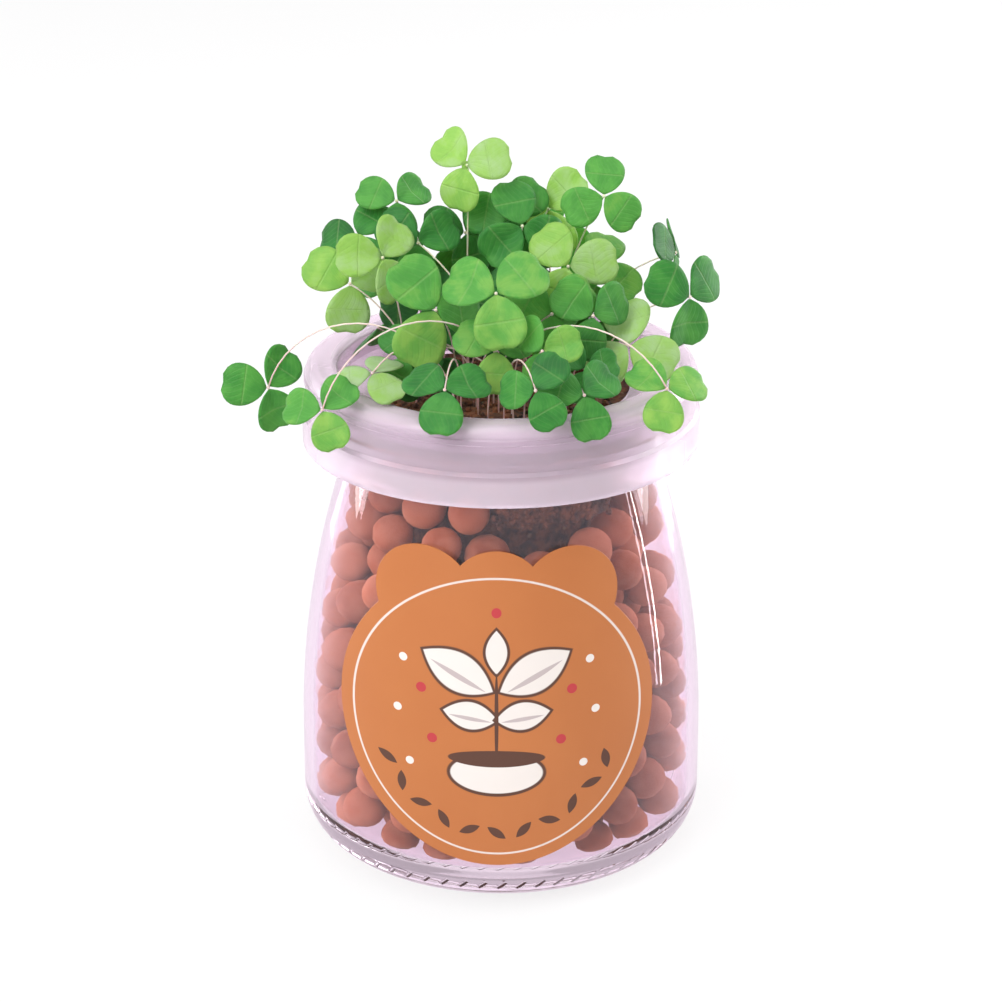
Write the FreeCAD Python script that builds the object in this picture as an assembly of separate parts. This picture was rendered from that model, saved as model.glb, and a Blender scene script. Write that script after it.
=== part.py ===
import FreeCAD, Part
import math
import os

# Hydroponic jar planter: a pudding jar of pressed glass filled with clay balls,
# a round paper label, a planting plug of soil in the mouth, a snap-on plastic
# collar round the mouth, and clover seedlings that grow out of the plug.
# Millimetres. The origin is the centre of the foot, +Z is up, -Y is the front.

V = FreeCAD.Vector
UP = V(0, 0, 1)
RIGHT = V(1, 0, 0)
FRONT = V(0, -1, 0)
full_turn = 360.0
golden_share = 0.6180339887

# Glass jar
body_radius = 35.0
body_widest_height = 20.0
shoulder_sweep_radius = 160.0
heel_radius = 9.0
foot_width = 5.0
push_up_height = 1.6
push_up_middle_share = 0.75
glass_wall = 1.85
base_thickness = 4.6
inside_heel_radius = 5.5
neck_height = 71.5
jar_height = 86.1
rim_flare = 5.1
rim_bead_height = 6.0
rim_bead_step = 0.4
rim_wall = 2.3
rim_round = 1.0
rim_straight_depth = 5.6
flare_height_share = 0.5
flare_reach_share = 0.24

# Bearing marks pressed into the heel of the glass
mark_count = 64
mark_radius = 0.55
mark_length = 2.5
mark_depth = 0.25
mark_height = 4.4
mark_slant = 38.0

# Snap-on collar
collar_seat_gap = 0.3
collar_side_gap = 0.4
collar_skirt_wall = 1.4
collar_band_step = 0.6
collar_band_height = 5.3
collar_drop = 12.5
collar_crown_wall = 1.2
collar_crown_round = 2.0
collar_grip_step = 0.25
collar_grip_height = 1.0
collar_lip_wall = 1.2
collar_lip_round = 1.3
collar_recess_depth = 4.5
collar_web_thickness = 1.2
collar_web_width = 5.7

# Clay balls
ball_diameter = 7.4
ball_spread_share = 0.09
ball_gap = 0.12
ball_layers = 8
wall_places = 104
plug_places = 60
inner_ring_places = 34
core_ring_places = 18

# Planting plug of soil
plug_step = 7.0
plug_length = 51.0
plug_taper_length = 5.0
plug_taper = 2.5
plug_gap = 0.3
head_gap = 0.45
head_depth = 9.4
soil_below_web = 0.5
soil_edge_round = 1.5
soil_lobe_depth = 6.5
soil_lobe_left_angle = 3.0
soil_lobe_right_angle = 50.0

# Front label
label_gap = 0.03
label_thickness = 0.18
label_radius = 26.4
label_centre_height = 35.6
label_shift = -0.75
label_lobe_radius = 8.2
label_lobe_height = 56.0
label_lobe_pitch = 12.0
label_lobe_count = 3
label_start_angle = 50.0

# Seedlings
stem_radius = 0.36
stem_rise = 1.5
root_depth = 6.0
root_gap = 0.05
knuckle_radius = 0.62
leaf_start = 0.9
leaf_thickness = 0.36
leaf_clearance = 1.1
own_stem_clearance = 0.75
collar_clearance = 0.8
plant_overhang = 6.0
plant_height = 48.0
planting_margin = 4.0
shift_step = 1.5
leaf_width_share = 0.97
leaf_widest_share = 0.62
leaf_low_reach_share = 0.24
leaf_low_width_share = 0.62
leaf_tip_reach_share = 0.96
leaf_tip_width_share = 0.58
leaf_notch_share = 0.95
leaf_end_share = 1.02
leaf_swell_power = 0.72
leaflet_count = 3
leaf_sample_rows = 8
leaf_sample_columns = 3
fewest_stem_samples = 4
leaf_cup_share = 1.5
leaf_droop = 14.0

# Trials that set a seedling clear of its neighbours: steps back and forth along
# the line of sight and sideways, turns of the leaves and rises of the head's face
# in degrees, and how many of the planting places nearest to its own are tried
sight_drop_share = 0.4
trial_steps = 8
trial_turns = (0, 12, -12, 25, -25, 40)
trial_rises = (0, 12, -10, 24)
trial_feet = 30
trial_heads = 240
foot_count = 90
foot_inward_share = 0.45

# Each seedling: name, how far its leaf head stands to the right and to the back
# as shares of the plant's reach, its height above the soil as a share of the
# plant's height, its leaf length as a share of the reach, the direction of its
# first leaflet in degrees, where 0 points right and 90 points up the head, and
# how many degrees the head looks to the right of straight ahead and above level.
sprout_shares = [
    ("left_fan", -0.630, -0.150, 0.450, 0.190, 30, 20, 22),
    ("crown_left", -0.150, 0.080, 0.820, 0.175, 12, -24, 24),
    ("crown_right", 0.430, 0.000, 0.730, 0.165, 85, 10, 26),
    ("crown_middle", 0.200, 0.200, 0.630, 0.185, 45, -36, 14),
    ("upper_left_tip", -0.440, 0.130, 0.680, 0.155, 40, 20, 40),
    ("upper_left_dark", -0.570, 0.000, 0.590, 0.165, 80, -20, 24),
    ("far_right", 0.790, -0.180, 0.410, 0.195, 33, 36, 12),
    ("far_right_blade", 0.740, 0.080, 0.500, 0.170, 62, 78, 12),
    ("over_rim_far_left", -0.970, -0.330, 0.120, 0.175, 40, 25, 14),
    ("over_rim_left", -0.730, -0.650, 0.140, 0.155, 48, -10, 26),
    ("over_rim_right", 0.680, -0.600, 0.200, 0.165, 23, 12, 48),
    ("big_left", -0.230, -0.380, 0.420, 0.235, 20, 30, 20),
    ("big_front", -0.020, -0.480, 0.510, 0.215, 36, -8, 36),
    ("right_step", 0.210, -0.330, 0.390, 0.190, 20, 5, 22),
    ("right_pale", 0.530, -0.250, 0.250, 0.200, 94, -15, 32),
    ("front_left_low", -0.020, -0.500, 0.310, 0.165, 31, 15, 32),
    ("front_middle", 0.130, -0.580, 0.330, 0.150, 29, -25, 24),
    ("rim_left_pale", -0.530, -0.380, 0.190, 0.155, 25, -6, 50),
    ("rim_front_right", 0.300, -0.680, 0.200, 0.170, 20, 20, 26),
    ("rim_front_left", -0.190, -0.650, 0.210, 0.175, 23, -4, 30),
    ("upper_middle", 0.090, 0.000, 0.620, 0.190, 103, 20, 26),
    ("upper_middle_left", -0.150, 0.080, 0.580, 0.170, 34, 20, 24),
    ("upper_left_inner", -0.310, 0.050, 0.540, 0.175, 27, 10, 30),
    ("left_upright", -0.490, -0.080, 0.520, 0.180, 59, 30, 24),
    ("upper_middle_right", 0.200, 0.180, 0.540, 0.170, 99, -8, 28),
    ("right_lime", 0.280, -0.080, 0.490, 0.190, 117, -10, 30),
    ("heart_shade", -0.060, 0.150, 0.460, 0.215, 105, 8, 16),
    ("right_grey", 0.380, -0.200, 0.340, 0.180, 47, 25, 22),
    ("right_dark", 0.300, -0.040, 0.220, 0.150, 115, -8, 20),
    ("inner_left_dark", -0.280, -0.250, 0.170, 0.150, 101, 3, 24),
    ("inner_middle", -0.100, -0.220, 0.300, 0.170, 80, 0, 22),
    ("middle_left", -0.340, -0.200, 0.380, 0.175, 60, -10, 22),
    ("upper_behind", 0.000, 0.240, 0.580, 0.180, 75, 0, 24),
    ("right_inner", 0.400, 0.060, 0.460, 0.170, 85, 20, 24),
    ("left_inner", -0.420, 0.100, 0.440, 0.175, 85, -20, 24),
    ("back_left", -0.380, 0.380, 0.340, 0.190, 60, 200, 45),
    ("back_middle", 0.020, 0.460, 0.360, 0.190, 80, 180, 45),
    ("back_right", 0.260, 0.400, 0.300, 0.190, 100, 160, 45),
    ("rim_front_middle", 0.138, -0.845, 0.270, 0.154, 56, -20, 24),
    ("left_low", -0.391, -0.282, 0.221, 0.136, 4, 0, 28),
    ("front_right_low", 0.349, -0.502, 0.241, 0.130, 17, 9, 32),
    ("inner_right", 0.178, -0.120, 0.365, 0.142, 111, 10, 38),
    ("heart_low", 0.085, 0.056, 0.368, 0.131, 40, 0, 20),
    ("back_low_left", -0.282, 0.494, 0.144, 0.142, 60, 195, 60),
    ("back_low_right", 0.262, 0.519, 0.172, 0.141, 81, 165, 47),
    ("back_far_left", -0.529, 0.217, 0.182, 0.155, 90, 240, 50),
]

# Heights and radii that follow from the sizes above
shoulder_centre = body_radius - shoulder_sweep_radius
foot_outer = body_radius - heel_radius
foot_inner = foot_outer - foot_width


def shoulder_radius(height, inset):
    """Radius of the glass shoulder at a height, drawn in by an inset."""
    sweep = shoulder_sweep_radius - inset
    rise = min(height - body_widest_height, sweep)
    return shoulder_centre + math.sqrt(sweep * sweep - rise * rise)


rim_bead_radius = shoulder_radius(neck_height, 0) + rim_flare
rim_inner_radius = rim_bead_radius - rim_wall
bead_bottom = jar_height - rim_bead_height
collar_inner_radius = rim_bead_radius + collar_side_gap
collar_skirt_radius = collar_inner_radius + collar_skirt_wall
collar_band_radius = collar_skirt_radius + collar_band_step
crown_underside = jar_height + collar_seat_gap
crown_top = crown_underside + collar_crown_wall
lip_outer_radius = rim_inner_radius - collar_side_gap
lip_inner_radius = lip_outer_radius - collar_lip_wall
collar_opening_radius = lip_inner_radius - collar_web_width
web_top = crown_top - collar_recess_depth
web_bottom = web_top - collar_web_thickness
collar_bottom = jar_height + collar_seat_gap - collar_drop
soil_top = web_bottom - soil_below_web
head_bottom = soil_top - head_depth
lobe_bottom = head_bottom - soil_lobe_depth
plug_bottom = soil_top - plug_length
head_radius = shoulder_radius(neck_height, glass_wall) - head_gap
plug_radius = head_radius - plug_step
ball_radius = ball_diameter / 2
widest_ball_radius = ball_radius * (1 + ball_spread_share)
plant_reach = collar_band_radius + plant_overhang
stem_base_limit = collar_opening_radius - planting_margin


def at(radius, height):
    """A point of a turned section."""
    return V(radius, 0, height)


def line(a, b):
    return Part.makeLine(a, b)


def arc(a, via, b):
    return Part.Arc(a, via, b).toShape()


def corner(centre, radius, start, end):
    """A round corner of a turned section, from one angle to another."""
    points = []
    for angle in (start, (start + end) / 2, end):
        turn = math.radians(angle)
        points.append(centre + at(radius * math.cos(turn), radius * math.sin(turn)))
    return arc(*points)


def turned(edges):
    """The solid that a closed section makes when it turns about the Z axis."""
    face = Part.Face(Part.Wire(edges))
    return face.revolve(V(0, 0, 0), UP, full_turn)


def flare_point(low, high):
    """The middle point of the neck's flare between its two ends."""
    reach = low.x + (high.x - low.x) * flare_reach_share
    height = low.z + (high.z - low.z) * flare_height_share
    return at(reach, height)


def glass_jar():
    """The jar: foot ring, thick base, round heel, sloping shoulder, flared rim."""
    middle_height = (body_widest_height + neck_height) / 2
    centre_up = at(0, push_up_height)
    foot_in = at(foot_inner, 0)
    foot_out = at(foot_outer, 0)
    push_up_via = at(foot_inner / 2, push_up_height * push_up_middle_share)
    widest = at(body_radius, body_widest_height)
    neck = at(shoulder_radius(neck_height, 0), neck_height)
    under_bead = at(rim_bead_radius - rim_bead_step, bead_bottom)
    bead_low = at(rim_bead_radius, bead_bottom + rim_bead_step)
    heel = corner(at(foot_outer, heel_radius), heel_radius, -90, 0)
    shoulder = arc(widest, at(shoulder_radius(middle_height, 0), middle_height), neck)
    outer_top = corner(at(rim_bead_radius - rim_round, jar_height - rim_round), rim_round, 0, 90)
    inner_top = corner(at(rim_inner_radius + rim_round, jar_height - rim_round), rim_round, 90, 180)
    rim_inside = at(rim_inner_radius, jar_height - rim_straight_depth)
    bore = at(shoulder_radius(neck_height, glass_wall), neck_height)
    inner_widest = at(body_radius - glass_wall, body_widest_height)
    inner_middle = at(shoulder_radius(middle_height, glass_wall), middle_height)
    heel_centre = at(inner_widest.x - inside_heel_radius, base_thickness + inside_heel_radius)
    inner_heel = corner(heel_centre, inside_heel_radius, 0, -90)
    jar = turned([
        arc(centre_up, push_up_via, foot_in),
        line(foot_in, foot_out),
        heel,
        line(at(body_radius, heel_radius), widest),
        shoulder,
        arc(neck, flare_point(neck, under_bead), under_bead),
        line(under_bead, bead_low),
        line(bead_low, at(rim_bead_radius, jar_height - rim_round)),
        outer_top,
        line(at(rim_bead_radius - rim_round, jar_height), at(rim_inner_radius + rim_round, jar_height)),
        inner_top,
        line(at(rim_inner_radius, jar_height - rim_round), rim_inside),
        arc(rim_inside, flare_point(bore, rim_inside), bore),
        arc(bore, inner_middle, inner_widest),
        line(inner_widest, at(inner_widest.x, heel_centre.z)),
        inner_heel,
        line(at(heel_centre.x, base_thickness), at(0, base_thickness)),
        line(at(0, base_thickness), centre_up),
    ])
    return jar.cut(Part.makeCompound(bearing_marks()))


def bearing_marks():
    """Slanting cutters for the row of short marks round the heel."""
    lift = heel_radius - mark_height
    heel_angle = math.asin(max(-1, min(1, lift / heel_radius)))
    out = V(math.cos(heel_angle), 0, -math.sin(heel_angle))
    along = V(math.sin(heel_angle), 0, math.cos(heel_angle))
    sideways = V(0, 1, 0)
    slant = math.radians(mark_slant)
    direction = along * math.cos(slant) + sideways * math.sin(slant)
    surface = at(foot_outer, heel_radius) + out * heel_radius
    middle = surface + out * (mark_radius - mark_depth)
    cutter = Part.makeCylinder(mark_radius, mark_length, middle - direction * (mark_length / 2), direction)
    marks = []
    for index in range(mark_count):
        mark = cutter.copy()
        mark.rotate(V(0, 0, 0), UP, full_turn * index / mark_count)
        marks.append(mark)
    return marks


def rim_collar():
    """The collar: skirt with a wider band below, rolled crown, recess and open web."""
    band_top = collar_bottom + collar_band_height
    grip_bottom = crown_top - collar_crown_round - collar_grip_height
    grip_radius = collar_skirt_radius + collar_grip_step
    crown_start = crown_top - collar_crown_round
    crown = corner(at(collar_skirt_radius - collar_crown_round, crown_start), collar_crown_round, 0, 90)
    lip_centre = at(lip_inner_radius + collar_lip_round, crown_top - collar_lip_round)
    lip = corner(lip_centre, collar_lip_round, 90, 180)
    section = [
        at(collar_inner_radius, collar_bottom),
        at(collar_band_radius, collar_bottom),
        at(collar_band_radius, band_top),
        at(collar_skirt_radius, band_top + collar_band_step),
        at(collar_skirt_radius, grip_bottom - collar_grip_step),
        at(grip_radius, grip_bottom),
        at(grip_radius, crown_start - collar_grip_step),
        at(collar_skirt_radius, crown_start),
    ]
    inside = [
        at(lip_inner_radius, lip_centre.z),
        at(lip_inner_radius, web_top),
        at(collar_opening_radius, web_top),
        at(collar_opening_radius, web_bottom),
        at(lip_outer_radius, web_bottom),
        at(lip_outer_radius, crown_underside),
        at(collar_inner_radius, crown_underside),
        at(collar_inner_radius, collar_bottom),
    ]
    edges = [line(a, b) for a, b in zip(section, section[1:])]
    edges.append(crown)
    edges.append(line(at(collar_skirt_radius - collar_crown_round, crown_top), at(lip_centre.x, crown_top)))
    edges.append(lip)
    edges.extend(line(a, b) for a, b in zip(inside, inside[1:]))
    return turned(edges)


def front_label():
    """The label: a thin shell on the glass, cut to a disc with a scalloped crown."""
    near = label_gap
    far = label_gap + label_thickness
    top = label_lobe_height + label_lobe_radius
    heel_centre = at(foot_outer, heel_radius)
    middle_height = (body_widest_height + top) / 2
    inner_start = math.radians(label_start_angle)
    away = V(math.cos(inner_start), 0, -math.sin(inner_start))
    low_in = heel_centre + away * (heel_radius + near)
    low_out = heel_centre + away * (heel_radius + far)
    edges = [
        line(low_in, low_out),
        corner(heel_centre, heel_radius + far, -label_start_angle, 0),
        line(at(body_radius + far, heel_radius), at(body_radius + far, body_widest_height)),
        arc(at(body_radius + far, body_widest_height),
            at(shoulder_radius(middle_height, -far), middle_height),
            at(shoulder_radius(top, -far), top)),
        line(at(shoulder_radius(top, -far), top), at(shoulder_radius(top, -near), top)),
        arc(at(shoulder_radius(top, -near), top),
            at(shoulder_radius(middle_height, -near), middle_height),
            at(body_radius + near, body_widest_height)),
        line(at(body_radius + near, body_widest_height), at(body_radius + near, heel_radius)),
        corner(heel_centre, heel_radius + near, 0, -label_start_angle),
    ]
    shell = turned(edges)
    reach = body_radius * 2
    outline = Part.makeCylinder(label_radius, reach, V(label_shift, 0, label_centre_height), FRONT)
    first = label_shift - label_lobe_pitch * (label_lobe_count - 1) / 2
    for index in range(label_lobe_count):
        centre = V(first + index * label_lobe_pitch, 0, label_lobe_height)
        outline = outline.fuse(Part.makeCylinder(label_lobe_radius, reach, centre, FRONT))
    return shell.common(outline)


def soil_head_sector(low, high):
    """The lower front part of the soil, from its left angle to its right one."""
    sector = Part.makeCylinder(head_radius, high - low, V(0, 0, low), UP, soil_lobe_left_angle + soil_lobe_right_angle)
    sector.rotate(V(0, 0, 0), UP, -full_turn / 4 - soil_lobe_left_angle)
    return sector


def soil_plug(bases):
    """The plug of soil: tapered core, wide head, lower front, one hole per root."""
    rounded = corner(at(head_radius - soil_edge_round, soil_top - soil_edge_round), soil_edge_round, 0, 90)
    taper_top = plug_bottom + plug_taper_length
    points = [
        at(0, soil_top),
        at(0, plug_bottom),
        at(plug_radius - plug_taper, plug_bottom),
        at(plug_radius, taper_top),
        at(plug_radius, head_bottom),
        at(head_radius, head_bottom),
        at(head_radius, soil_top - soil_edge_round),
    ]
    edges = [line(a, b) for a, b in zip(points, points[1:])]
    edges.append(rounded)
    edges.append(line(at(head_radius - soil_edge_round, soil_top), points[0]))
    plug = turned(edges).fuse(soil_head_sector(lobe_bottom, head_bottom + soil_edge_round))
    hole_radius = stem_radius + root_gap
    hole_depth = root_depth + root_gap
    holes = []
    for base in bases:
        floor = V(base.x, base.y, soil_top - hole_depth)
        holes.append(Part.makeCylinder(hole_radius, hole_depth + stem_rise, floor, UP))
    return plug.cut(Part.makeCompound(holes)).removeSplitter()


def wall_reach(height, margin):
    """How far from the axis a ball's centre may lie, for its radius plus gap."""
    straight = body_radius - glass_wall - margin
    corner_height = base_thickness + inside_heel_radius
    if height > body_widest_height:
        return shoulder_radius(height, glass_wall + margin)
    if height < corner_height and inside_heel_radius > margin:
        drop = corner_height - height
        round_in = inside_heel_radius - margin
        spare = max(0, round_in * round_in - drop * drop)
        return body_radius - glass_wall - inside_heel_radius + math.sqrt(spare)
    return straight


class BallBed:
    """Balls that are dropped one by one into the lowest free place of the jar."""

    def __init__(self):
        self.balls = []
        self.columns = {}
        self.cell = 2 * widest_ball_radius + ball_gap
        self.drawn = 0

    def next_radius(self):
        """Ball sizes spread evenly about the mean, in a steady golden sequence."""
        self.drawn += 1
        wave = 2 * math.modf(self.drawn * golden_share)[0] - 1
        return ball_radius * (1 + ball_spread_share * wave)

    def near(self, x, y):
        """The balls already placed in the columns round a point."""
        column, row = int(x // self.cell), int(y // self.cell)
        for i in range(column - 1, column + 2):
            for j in range(row - 1, row + 2):
                yield from self.columns.get((i, j), ())

    def add(self, x, y, z, radius):
        key = (int(x // self.cell), int(y // self.cell))
        ball = (x, y, z, radius)
        self.balls.append(ball)
        self.columns.setdefault(key, []).append(ball)

    def settle(self, place):
        """Lift a ball up its place until it clears all balls below it."""
        reach, angle, radius = place["reach"], place["angle"], place["radius"]
        z = base_thickness + radius + ball_gap
        while True:
            out = min(reach, wall_reach(z, radius + ball_gap))
            x, y = out * math.cos(angle), out * math.sin(angle)
            lifted = z
            for bx, by, bz, other in self.near(x, y):
                apart = radius + other + ball_gap
                flat = (bx - x) ** 2 + (by - y) ** 2
                if flat + (bz - z) ** 2 < apart * apart:
                    lifted = max(lifted, bz + math.sqrt(apart * apart - flat))
            if lifted <= z:
                break
            z = lifted
        place["x"], place["y"], place["z"] = x, y, z

    def open_top(self, place):
        """The height that the top of a ball may reach at a place."""
        bottom_of_head = head_bottom
        out = math.hypot(place["x"], place["y"])
        if out - place["radius"] < plug_radius + plug_gap:
            return plug_bottom - plug_gap
        margin = math.degrees(math.asin(min(1, (place["radius"] + plug_gap) / max(out, ball_radius))))
        from_front = math.degrees(math.atan2(place["x"], -place["y"]))
        if -soil_lobe_left_angle - margin < from_front < soil_lobe_right_angle + margin:
            bottom_of_head = lobe_bottom
        return bottom_of_head - plug_gap


def ball_places(bed):
    """The places where balls can be dropped: at the wall, at the plug, under it."""
    rings = [
        (body_radius, wall_places),
        (plug_radius + plug_gap + widest_ball_radius, plug_places),
        (plug_radius - plug_gap - ball_gap, inner_ring_places),
        (plug_radius / 2, core_ring_places),
        (0, 1),
    ]
    places = []
    for reach, count in rings:
        for index in range(count):
            angle = 2 * math.pi * index / count
            place = {"reach": reach, "angle": angle, "radius": bed.next_radius()}
            bed.settle(place)
            places.append(place)
    return places


def fill_balls():
    """Drop balls into the lowest place until every place is full."""
    bed = BallBed()
    places = ball_places(bed)
    while places:
        place = min(places, key=lambda p: p["z"])
        if place["z"] + place["radius"] > bed.open_top(place):
            places.remove(place)
            continue
        x, y, z = place["x"], place["y"], place["z"]
        bed.add(x, y, z, place["radius"])
        place["radius"] = bed.next_radius()
        for other in places:
            if abs(other["x"] - x) < bed.cell and abs(other["y"] - y) < bed.cell:
                bed.settle(other)
    return bed.balls


def ball_layer_shapes(balls):
    """The balls as solids, sorted into layers by height."""
    layers = [[] for _ in range(ball_layers)]
    lowest = min(ball[2] for ball in balls)
    span = max(ball[2] for ball in balls) - lowest
    for x, y, z, radius in balls:
        level = int((z - lowest) / span * ball_layers)
        layers[min(ball_layers - 1, level)].append(Part.makeSphere(radius, V(x, y, z)))
    return layers


def stem_arc(top, head):
    """Radius, outward direction and swept angle of the arc from a stem to its head."""
    flat = V(head.x - top.x, head.y - top.y, 0)
    rise = head.z - top.z
    reach = max(flat.Length, stem_radius)
    outward = flat.normalize() if flat.Length > stem_radius else V(1, 0, 0)
    radius = (reach * reach + rise * rise) / (2 * reach)
    sweep = math.atan2(rise, radius - reach)
    return radius, outward, sweep


def stem_points(base, head):
    """Points along a stem, about a clearance apart, from the soil to the head."""
    top = V(base.x, base.y, soil_top + stem_rise)
    radius, outward, sweep = stem_arc(top, head)
    steps = max(fewest_stem_samples, int(radius * sweep / leaf_clearance))
    points = [V(base.x, base.y, soil_top), top]
    for step in range(1, steps + 1):
        points.append(arc_point(top, radius, outward, sweep * step / steps))
    return [(p.x, p.y, p.z) for p in points]


def arc_point(top, radius, outward, turn):
    """The point of a stem's arc after a turn from its top."""
    return top + outward * (radius - radius * math.cos(turn)) + UP * (radius * math.sin(turn))


def stem_solid(base, head):
    """A round stem: root and foot straight up, then one arc, with a knuckle on top."""
    root = V(base.x, base.y, soil_top - root_depth)
    top = V(base.x, base.y, soil_top + stem_rise)
    radius, outward, sweep = stem_arc(top, head)
    bend = arc(top, arc_point(top, radius, outward, sweep / 2), arc_point(top, radius, outward, sweep))
    path = Part.Wire([line(root, top), bend])
    section = Part.Wire([Part.makeCircle(stem_radius, root, UP)])
    stem = path.makePipeShell([section], True, False)
    return stem.fuse(Part.makeSphere(knuckle_radius, head))


class LeafHead:
    """A head of three leaflets: where they start, point and face."""

    def __init__(self, head, length, first, face):
        self.head = head
        self.length = length
        self.normal = face.normalize()
        self.across = (RIGHT - self.normal * self.normal.dot(RIGHT)).normalize()
        self.up = self.normal.cross(self.across)
        self.angles = [first + full_turn * k / leaflet_count for k in range(leaflet_count)]

    def frames(self):
        """Origin, direction and normal of each leaflet, drooping from the head."""
        droop = math.radians(leaf_droop)
        for angle in self.angles:
            turn = math.radians(angle)
            flat = self.across * math.cos(turn) + self.up * math.sin(turn)
            along = flat * math.cos(droop) - self.normal * math.sin(droop)
            normal = self.normal * math.cos(droop) + flat * math.sin(droop)
            yield self.head + along * leaf_start, along, normal

    def points(self):
        """Points spread over the leaflets, to keep them clear of their neighbours."""
        for start, along, normal in self.frames():
            side = normal.cross(along)
            for share, offset, rise in blade_shares():
                reach, aside, lift = (self.length * part for part in (share, offset, rise))
                yield (
                    start.x + along.x * reach + side.x * aside + normal.x * lift,
                    start.y + along.y * reach + side.y * aside + normal.y * lift,
                    start.z + along.z * reach + side.z * aside + normal.z * lift,
                )


def blade_shares():
    """Points of a leaflet's blade: along, across and above, as shares of its length."""
    for row in range(leaf_sample_rows):
        share = (row + 1 / 2) / leaf_sample_rows
        if share < leaf_widest_share:
            full = math.sin(math.pi / 2 * (share / leaf_widest_share) ** leaf_swell_power)
        else:
            beyond = (share - leaf_widest_share) / (leaf_end_share - leaf_widest_share)
            full = math.sqrt(1 - beyond * beyond)
        half = leaf_width_share / 2 * full
        for column in range(-leaf_sample_columns, leaf_sample_columns + 1):
            offset = half * column / leaf_sample_columns
            sag = (share - 1 / 2) ** 2 - 1 / 4 + offset * offset
            yield share, offset, -sag / (2 * leaf_cup_share)


def leaf_blade(length):
    """A heart-shaped leaflet along +X from the origin, cut from a thin dome."""
    half = length * leaf_width_share / 2
    points = {
        "base": V(0, 0, 0),
        "lower": V(length * leaf_low_reach_share, half * leaf_low_width_share, 0),
        "side": V(length * leaf_widest_share, half, 0),
        "upper": V(length * leaf_tip_reach_share, half * leaf_tip_width_share, 0),
        "notch": V(length * leaf_notch_share, 0, 0),
    }
    mirrored = {name: V(p.x, -p.y, p.z) for name, p in points.items()}
    outline = Part.Wire([
        arc(points["base"], points["lower"], points["side"]),
        arc(points["side"], points["upper"], points["notch"]),
        arc(mirrored["notch"], mirrored["upper"], mirrored["side"]),
        arc(mirrored["side"], mirrored["lower"], mirrored["base"]),
    ])
    outline.translate(UP * (-length / 2))
    blade = Part.Face(outline).extrude(UP * length)
    bend = length * leaf_cup_share
    sink = math.sqrt(bend * bend - length * length / 4)
    centre = V(length / 2, 0, -sink)
    dome = Part.makeSphere(bend + leaf_thickness / 2, centre)
    hollow = Part.makeSphere(bend - leaf_thickness / 2, centre)
    return blade.common(dome).cut(hollow).Solids[0]


def leaf_solid(blade, start, along, normal):
    """A copy of a leaflet, set at its place on the head."""
    side = normal.cross(along)
    matrix = FreeCAD.Matrix(
        along.x, side.x, normal.x, start.x,
        along.y, side.y, normal.y, start.y,
        along.z, side.z, normal.z, start.z,
        0, 0, 0, 1,
    )
    leaf = blade.copy()
    leaf.transformShape(matrix)
    return leaf


def clear_of_collar(point):
    """Whether a point of a seedling keeps its clearance from collar and soil."""
    out = math.hypot(point[0], point[1])
    if out > collar_band_radius + collar_clearance:
        return True
    if out > lip_inner_radius - collar_clearance:
        return point[2] > crown_top + collar_clearance
    if out > collar_opening_radius - collar_clearance:
        return point[2] > web_top + collar_clearance
    return point[2] >= soil_top


class Thicket:
    """The seedlings placed so far, as points in a grid of small cells."""

    def __init__(self):
        self.cells = {}

    def add(self, points):
        """Keep each point in its own cell and the cells round it."""
        steps = (-1, 0, 1)
        for point in points:
            i, j, k = (int(c // leaf_clearance) for c in point)
            for a in steps:
                for b in steps:
                    for c in steps:
                        self.cells.setdefault((i + a, j + b, k + c), []).append(point)

    def touches(self, point):
        """Whether a point comes too near to a seedling placed before."""
        i, j, k = (int(c // leaf_clearance) for c in point)
        near = self.cells.get((i, j, k), ())
        return any(math.dist(point, other) < leaf_clearance for other in near)


def own_clashes(stem, leaves, head):
    """How many points of a stem lie on its own leaflets, away from the knuckle."""
    free = [p for p in stem if math.dist(p, head) > leaf_start]
    return sum(any(math.dist(leaf, p) < own_stem_clearance for leaf in leaves) for p in free)


def signed_steps():
    """Distances to try, from zero outwards to both sides."""
    yield 0
    for step in range(1, trial_steps):
        yield step * shift_step
        yield -step * shift_step


def leaf_face(turned, raised):
    """Where a head looks: degrees to the right of straight ahead, and above level."""
    side, rise = math.radians(turned), math.radians(raised)
    level = math.cos(rise)
    return V(level * math.sin(side), -level * math.cos(side), math.sin(rise))


def count_faults(points, thicket, limit):
    """How many points are too near to the collar or a neighbour, up to a limit."""
    faults = 0
    for point in points:
        faults += not clear_of_collar(point) or thicket.touches(point)
        if faults >= limit:
            break
    return faults


def trial_leaf_heads(shares):
    """Leaf heads to try for a seedling, from its own place outwards."""
    _, right, back, high, length, first, turned, raised = shares
    for shift in signed_steps():
        for aside in (0, shift_step, -shift_step):
            head = V(
                right * plant_reach + aside,
                back * plant_reach + shift,
                soil_top + high * plant_height - shift * sight_drop_share,
            )
            for turn in trial_turns:
                for rise in trial_rises:
                    face = leaf_face(turned, raised + rise)
                    yield LeafHead(head, length * plant_reach, first + turn, face)


def planting_places():
    """Places for feet on the soil: a sunflower spiral out to the limit."""
    for index in range(foot_count):
        out = stem_base_limit * math.sqrt((index + 1 / 2) / foot_count)
        way = 2 * math.pi * golden_share * index
        yield V(out * math.cos(way), out * math.sin(way), 0)


def place_stem(leaf_head, leaves, places, thicket):
    """The nearest free foot from which a clear stem reaches a leaf head."""
    head = leaf_head.head
    wanted = V(head.x, head.y, 0) * foot_inward_share
    best = (float("inf"), None, None)
    for foot in sorted(places, key=wanted.distanceToPoint)[:trial_feet]:
        stem = stem_points(foot, head)
        faults = own_clashes(stem, leaves, (head.x, head.y, head.z))
        faults += count_faults(stem, thicket, best[0])
        if faults < best[0]:
            best = (faults, foot, stem)
        if not faults:
            break
    return best


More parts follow.
